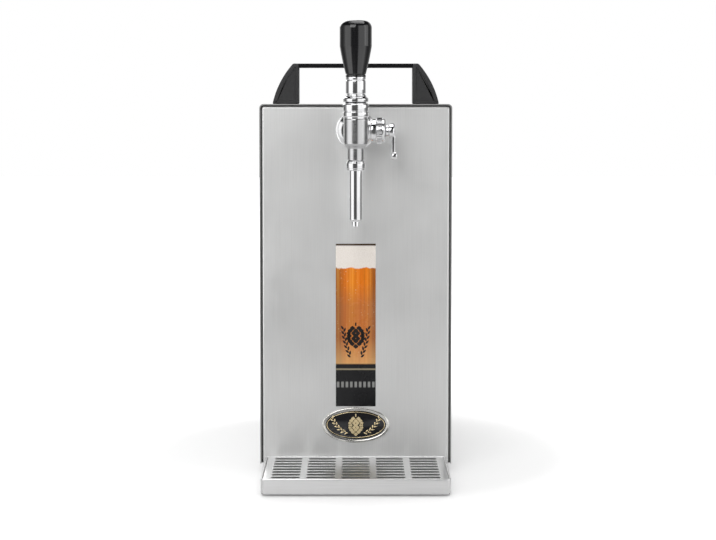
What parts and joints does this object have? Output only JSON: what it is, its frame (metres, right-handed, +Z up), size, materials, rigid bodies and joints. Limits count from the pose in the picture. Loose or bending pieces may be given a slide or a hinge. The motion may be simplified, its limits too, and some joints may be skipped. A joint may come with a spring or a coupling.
{
  "type": "counter-top keg beer dispenser",
  "caption": "Narrow stainless counter-top cooler and dispenser for keg beer, with a compensator tap, carrying handle, front label and lift-out drip tray.",
  "frame": {"origin": "on the table, midway across the width and midway between the drip tray's front and the rear fittings", "axes": "+X to the right as seen from the front, +Y from the front to the back, +Z up"},
  "size_m": [0.1804, 0.3651, 0.4165],
  "materials": {
    "steel_sheet": "fine brushed stainless sheet",
    "tray_steel": "satin stainless",
    "screw_steel": "plain stainless",
    "foot_rubber": "matt black",
    "pad_clear": "clear soft pad",
    "handle_plastic": "black, finely textured",
    "handle_steel": "black powder coat",
    "tap_chrome": "polished chrome",
    "tap_inner_steel": "turned stainless",
    "seal_rubber": "matt",
    "cone_plastic": "natural acetal",
    "knob_black": "polished black",
    "label_print": "printed vinyl",
    "badge_metal": "cast badge, darkened in its hollows",
    "box_foam": "white foam",
    "block_aluminium": "as cast",
    "pipe_copper": "drawn copper",
    "beer_tube": "translucent tube",
    "compressor_black": "black enamel",
    "condenser_aluminium": "mill finish",
    "shroud_plastic": "black moulded",
    "strap_zinc": "zinc plated",
    "pump_plastic": "dark grey moulded",
    "fitting_grey": "grey acetal",
    "collet_blue": "blue acetal",
    "control_black": "black moulded",
    "rocker_red": "red translucent"
  },
  "bodies": {
    "cabinet": {"base_pan": "steel_sheet", "cabinet_cover": "steel_sheet", "front_panel": "steel_sheet", "rear_panel": "steel_sheet", "cabinet_screws": "screw_steel", "rubber_feet": "foot_rubber", "handle_bracket_left": "handle_plastic", "handle_bracket_right": "handle_plastic", "handle_bar": "handle_steel", "handle_screws": "screw_steel", "tap_shank": "tap_inner_steel", "tap_flange": "tap_chrome", "shank_nut": "tap_inner_steel", "coupling_nut": "tap_chrome", "tap_body": "tap_chrome", "tap_bonnet": "tap_chrome", "compensator_barrel": "tap_chrome", "compensator_cap": "tap_chrome", "spout_nut": "tap_chrome", "spout_seal": "seal_rubber", "spout_tube": "tap_chrome", "front_label": "label_print", "front_badge": "badge_metal", "mid_shelf": "steel_sheet", "cold_box": "box_foam", "cold_box_lid": "box_foam", "cold_block": "block_aluminium", "beer_line_out": "beer_tube", "beer_line_in": "beer_tube", "compressor": "compressor_black", "compressor_grommets": "foot_rubber", "suction_line": "pipe_copper", "discharge_line": "pipe_copper", "condenser": "condenser_aluminium", "fan_shroud": "shroud_plastic", "fan_motor": "shroud_plastic", "motor_strap": "strap_zinc", "air_pump": "pump_plastic", "air_line": "beer_tube", "beer_inlet": "fitting_grey", "air_outlet": "fitting_grey", "fitting_nuts": "fitting_grey", "thermostat": "control_black", "cooling_switch": "control_black", "pump_switch": "control_black", "power_inlet": "control_black"},
    "tap_handle": {"tap_lever": "tap_chrome", "tap_knob": "knob_black"},
    "valve_piston": {"tap_piston": "tap_inner_steel"},
    "flow_lever": {"compensator_lever": "tap_chrome"},
    "flow_cone": {"compensator_cone": "cone_plastic"},
    "fan": {"fan_blade": "shroud_plastic"},
    "cooling_dial": {"thermostat_knob": "control_black"},
    "cooling_key": {"cooling_rocker": "rocker_red"},
    "pump_key": {"pump_rocker": "rocker_red"},
    "beer_collet": {"beer_inlet_collet": "collet_blue"},
    "air_collet": {"air_outlet_collet": "collet_blue"},
    "tray": {"drip_tray": "tray_steel", "tray_pads": "pad_clear"},
    "grid": {"drip_grid": "tray_steel"}
  },
  "joints": [
    {"name": "tap_lever_tilt", "type": "hinge", "parent": "cabinet", "child": "tap_handle", "pos_m": [0, -0.14725, 0.331], "axis": [1, 0, 0], "range_deg": [-12, 25]},
    {"name": "valve_piston_slide", "type": "slide", "parent": "cabinet", "child": "valve_piston", "axis": [0, 1, 0], "range_m": [-0.0025, 0.0052]},
    {"name": "flow_lever_turn", "type": "hinge", "parent": "cabinet", "child": "flow_lever", "pos_m": [0, -0.12625, 0.319], "axis": [1, 0, 0], "range_deg": [-90, 90]},
    {"name": "flow_cone_slide", "type": "slide", "parent": "cabinet", "child": "flow_cone", "axis": [0, 1, 0], "range_m": [-0.003, 0.003]},
    {"name": "fan_spin", "type": "hinge", "parent": "cabinet", "child": "fan", "pos_m": [0, 0.13215, 0.205], "axis": [0, 1, 0], "continuous": true},
    {"name": "cooling_dial_turn", "type": "hinge", "parent": "cabinet", "child": "cooling_dial", "pos_m": [0.046, 0.16155, 0.309], "axis": [0, 1, 0], "range_deg": [0, 270]},
    {"name": "cooling_key_tilt", "type": "hinge", "parent": "cabinet", "child": "cooling_key", "pos_m": [-0.014, 0.16105, 0.309], "axis": [1, 0, 0], "range_deg": [0, 24]},
    {"name": "pump_key_tilt", "type": "hinge", "parent": "cabinet", "child": "pump_key", "pos_m": [-0.048, 0.16105, 0.309], "axis": [1, 0, 0], "range_deg": [0, 24]},
    {"name": "beer_collet_push", "type": "slide", "parent": "cabinet", "child": "beer_collet", "axis": [0, -1, 0], "range_m": [0, 0.0015], "stiffness_N_per_m": 200},
    {"name": "air_collet_push", "type": "slide", "parent": "cabinet", "child": "air_collet", "axis": [0, -1, 0], "range_m": [0, 0.0015], "stiffness_N_per_m": 200},
    {"name": "tray_pull", "type": "slide", "parent": "cabinet", "child": "tray", "axis": [0, -1, 0], "range_m": [0, 0.12]},
    {"name": "grid_lift", "type": "slide", "parent": "tray", "child": "grid", "axis": [0, 0, 1], "range_m": [0, 0.03]}
  ],
  "couplings": [
    {"joint": "valve_piston_slide", "follows": "tap_lever_tilt", "m_per_rad": 0.0113},
    {"joint": "flow_cone_slide", "follows": "flow_lever_turn", "m_per_rad": -0.0018}
  ]
}
